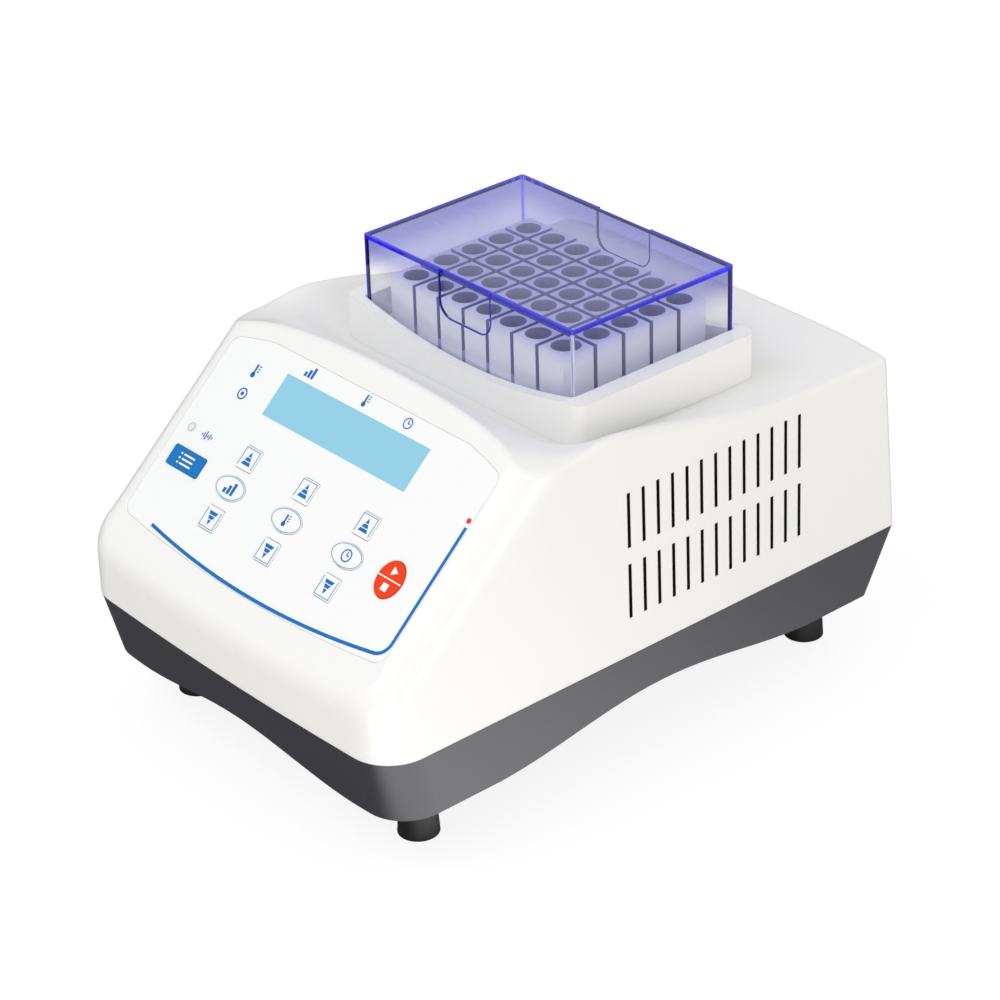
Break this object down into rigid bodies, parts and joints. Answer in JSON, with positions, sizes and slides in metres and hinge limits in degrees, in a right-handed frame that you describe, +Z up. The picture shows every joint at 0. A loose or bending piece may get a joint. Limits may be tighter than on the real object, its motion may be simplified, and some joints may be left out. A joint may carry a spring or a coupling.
{
  "type": "dry bath incubator",
  "caption": "Bench heater with a kerfed aluminium tube block under a lift-off tinted lid, in a white casing with a sloping key panel on a dark base tray.",
  "frame": {"origin": "on the bench under the middle of the casing's footprint", "axes": "+Z up, -Y the front with the key panel, +X the right side of the device"},
  "size_m": [0.2026, 0.2888, 0.1877],
  "materials": {
    "casing_white": "satin moulded",
    "tray_grey": "satin moulded",
    "overlay_white": "printed film",
    "display_blue": "clear window over a lit display",
    "lamp_clear": "clear",
    "lamp_red": "clear red",
    "module_black": "moulded",
    "board_green": "solder mask",
    "block_aluminium": "anodised",
    "lid_violet": "clear tinted acrylic",
    "silicone_orange": "matte",
    "foam_grey": "closed-cell foam",
    "steel": "zinc plated",
    "nylon_white": "moulded",
    "brass": "plated",
    "glass_clear": "clear",
    "foot_rubber": "matte",
    "key_white": "printed film",
    "key_blue": "printed film",
    "key_orange": "printed film"
  },
  "bodies": {
    "casing": {"upper_casing": "casing_white", "base_tray": "tray_grey", "panel_overlay": "overlay_white", "display_window": "display_blue", "run_lamp": "lamp_clear", "power_lamp": "lamp_red", "lcd_module": "module_black", "key_board": "board_green", "tact_switches": "module_black", "heat_spreader": "block_aluminium", "heater_mat": "silicone_orange", "insulation_frame": "foam_grey", "temperature_sensor": "steel", "thermal_cutout": "steel", "heater_posts": "steel", "chassis_plate": "steel", "chassis_screws": "steel", "fan_frame": "module_black", "main_board": "board_green", "board_standoffs": "nylon_white", "board_parts": "module_black", "transformer": "steel", "power_inlet": "module_black", "inlet_pins": "brass", "inlet_screws": "steel", "switch_frame": "module_black", "foot_screws": "steel", "casing_screws": "steel", "foot_front_left": "foot_rubber", "foot_front_right": "foot_rubber", "foot_rear_left": "foot_rubber", "foot_rear_right": "foot_rubber"},
    "lid": {"lid": "lid_violet"},
    "block": {"sample_block": "block_aluminium"},
    "power_rocker": {"power_rocker": "module_black"},
    "fuse_drawer": {"fuse_drawer": "module_black", "fuse": "glass_clear"},
    "fan": {"fan_rotor": "module_black"},
    "segment_up_key": {"segment_up_key": "key_white"},
    "segment_select_key": {"segment_select_key": "key_white"},
    "segment_down_key": {"segment_down_key": "key_white"},
    "temperature_up_key": {"temperature_up_key": "key_white"},
    "temperature_select_key": {"temperature_select_key": "key_white"},
    "temperature_down_key": {"temperature_down_key": "key_white"},
    "time_up_key": {"time_up_key": "key_white"},
    "time_select_key": {"time_select_key": "key_white"},
    "time_down_key": {"time_down_key": "key_white"},
    "program_key": {"program_key": "key_blue"},
    "start_stop_key": {"start_stop_key": "key_orange"}
  },
  "joints": [
    {"name": "lid_lift", "type": "slide", "parent": "casing", "child": "lid", "axis": [0, 0, 1], "range_m": [0, 0.12]},
    {"name": "block_lift", "type": "slide", "parent": "casing", "child": "block", "axis": [0, 0, 1], "range_m": [0, 0.012]},
    {"name": "power_rocker_tilt", "type": "hinge", "parent": "casing", "child": "power_rocker", "pos_m": [0.006, 0.136, 0.0835], "axis": [1, 0, 0], "range_deg": [0, 16]},
    {"name": "fuse_drawer_slide", "type": "slide", "parent": "casing", "child": "fuse_drawer", "axis": [0, 1, 0], "range_m": [0, 0.018]},
    {"name": "fan_spin", "type": "hinge", "parent": "casing", "child": "fan", "pos_m": [0, 0.0346, 0.0715], "axis": [0, 0, 1], "continuous": true},
    {"name": "segment_up_key_press", "type": "slide", "parent": "casing", "child": "segment_up_key", "axis": [0, 0.6803, -0.7329], "range_m": [0, 0.0004], "stiffness_N_per_m": 500, "springref_m": -0.002},
    {"name": "segment_select_key_press", "type": "slide", "parent": "casing", "child": "segment_select_key", "axis": [0, 0.6803, -0.7329], "range_m": [0, 0.0004], "stiffness_N_per_m": 500, "springref_m": -0.002},
    {"name": "segment_down_key_press", "type": "slide", "parent": "casing", "child": "segment_down_key", "axis": [0, 0.6803, -0.7329], "range_m": [0, 0.0004], "stiffness_N_per_m": 500, "springref_m": -0.002},
    {"name": "temperature_up_key_press", "type": "slide", "parent": "casing", "child": "temperature_up_key", "axis": [0, 0.6803, -0.7329], "range_m": [0, 0.0004], "stiffness_N_per_m": 500, "springref_m": -0.002},
    {"name": "temperature_select_key_press", "type": "slide", "parent": "casing", "child": "temperature_select_key", "axis": [0, 0.6803, -0.7329], "range_m": [0, 0.0004], "stiffness_N_per_m": 500, "springref_m": -0.002},
    {"name": "temperature_down_key_press", "type": "slide", "parent": "casing", "child": "temperature_down_key", "axis": [0, 0.6803, -0.7329], "range_m": [0, 0.0004], "stiffness_N_per_m": 500, "springref_m": -0.002},
    {"name": "time_up_key_press", "type": "slide", "parent": "casing", "child": "time_up_key", "axis": [0, 0.6803, -0.7329], "range_m": [0, 0.0004], "stiffness_N_per_m": 500, "springref_m": -0.002},
    {"name": "time_select_key_press", "type": "slide", "parent": "casing", "child": "time_select_key", "axis": [0, 0.6803, -0.7329], "range_m": [0, 0.0004], "stiffness_N_per_m": 500, "springref_m": -0.002},
    {"name": "time_down_key_press", "type": "slide", "parent": "casing", "child": "time_down_key", "axis": [0, 0.6803, -0.7329], "range_m": [0, 0.0004], "stiffness_N_per_m": 500, "springref_m": -0.002},
    {"name": "program_key_press", "type": "slide", "parent": "casing", "child": "program_key", "axis": [0, 0.6803, -0.7329], "range_m": [0, 0.0004], "stiffness_N_per_m": 500, "springref_m": -0.002},
    {"name": "start_stop_key_press", "type": "slide", "parent": "casing", "child": "start_stop_key", "axis": [0, 0.6803, -0.7329], "range_m": [0, 0.0004], "stiffness_N_per_m": 500, "springref_m": -0.002}
  ]
}
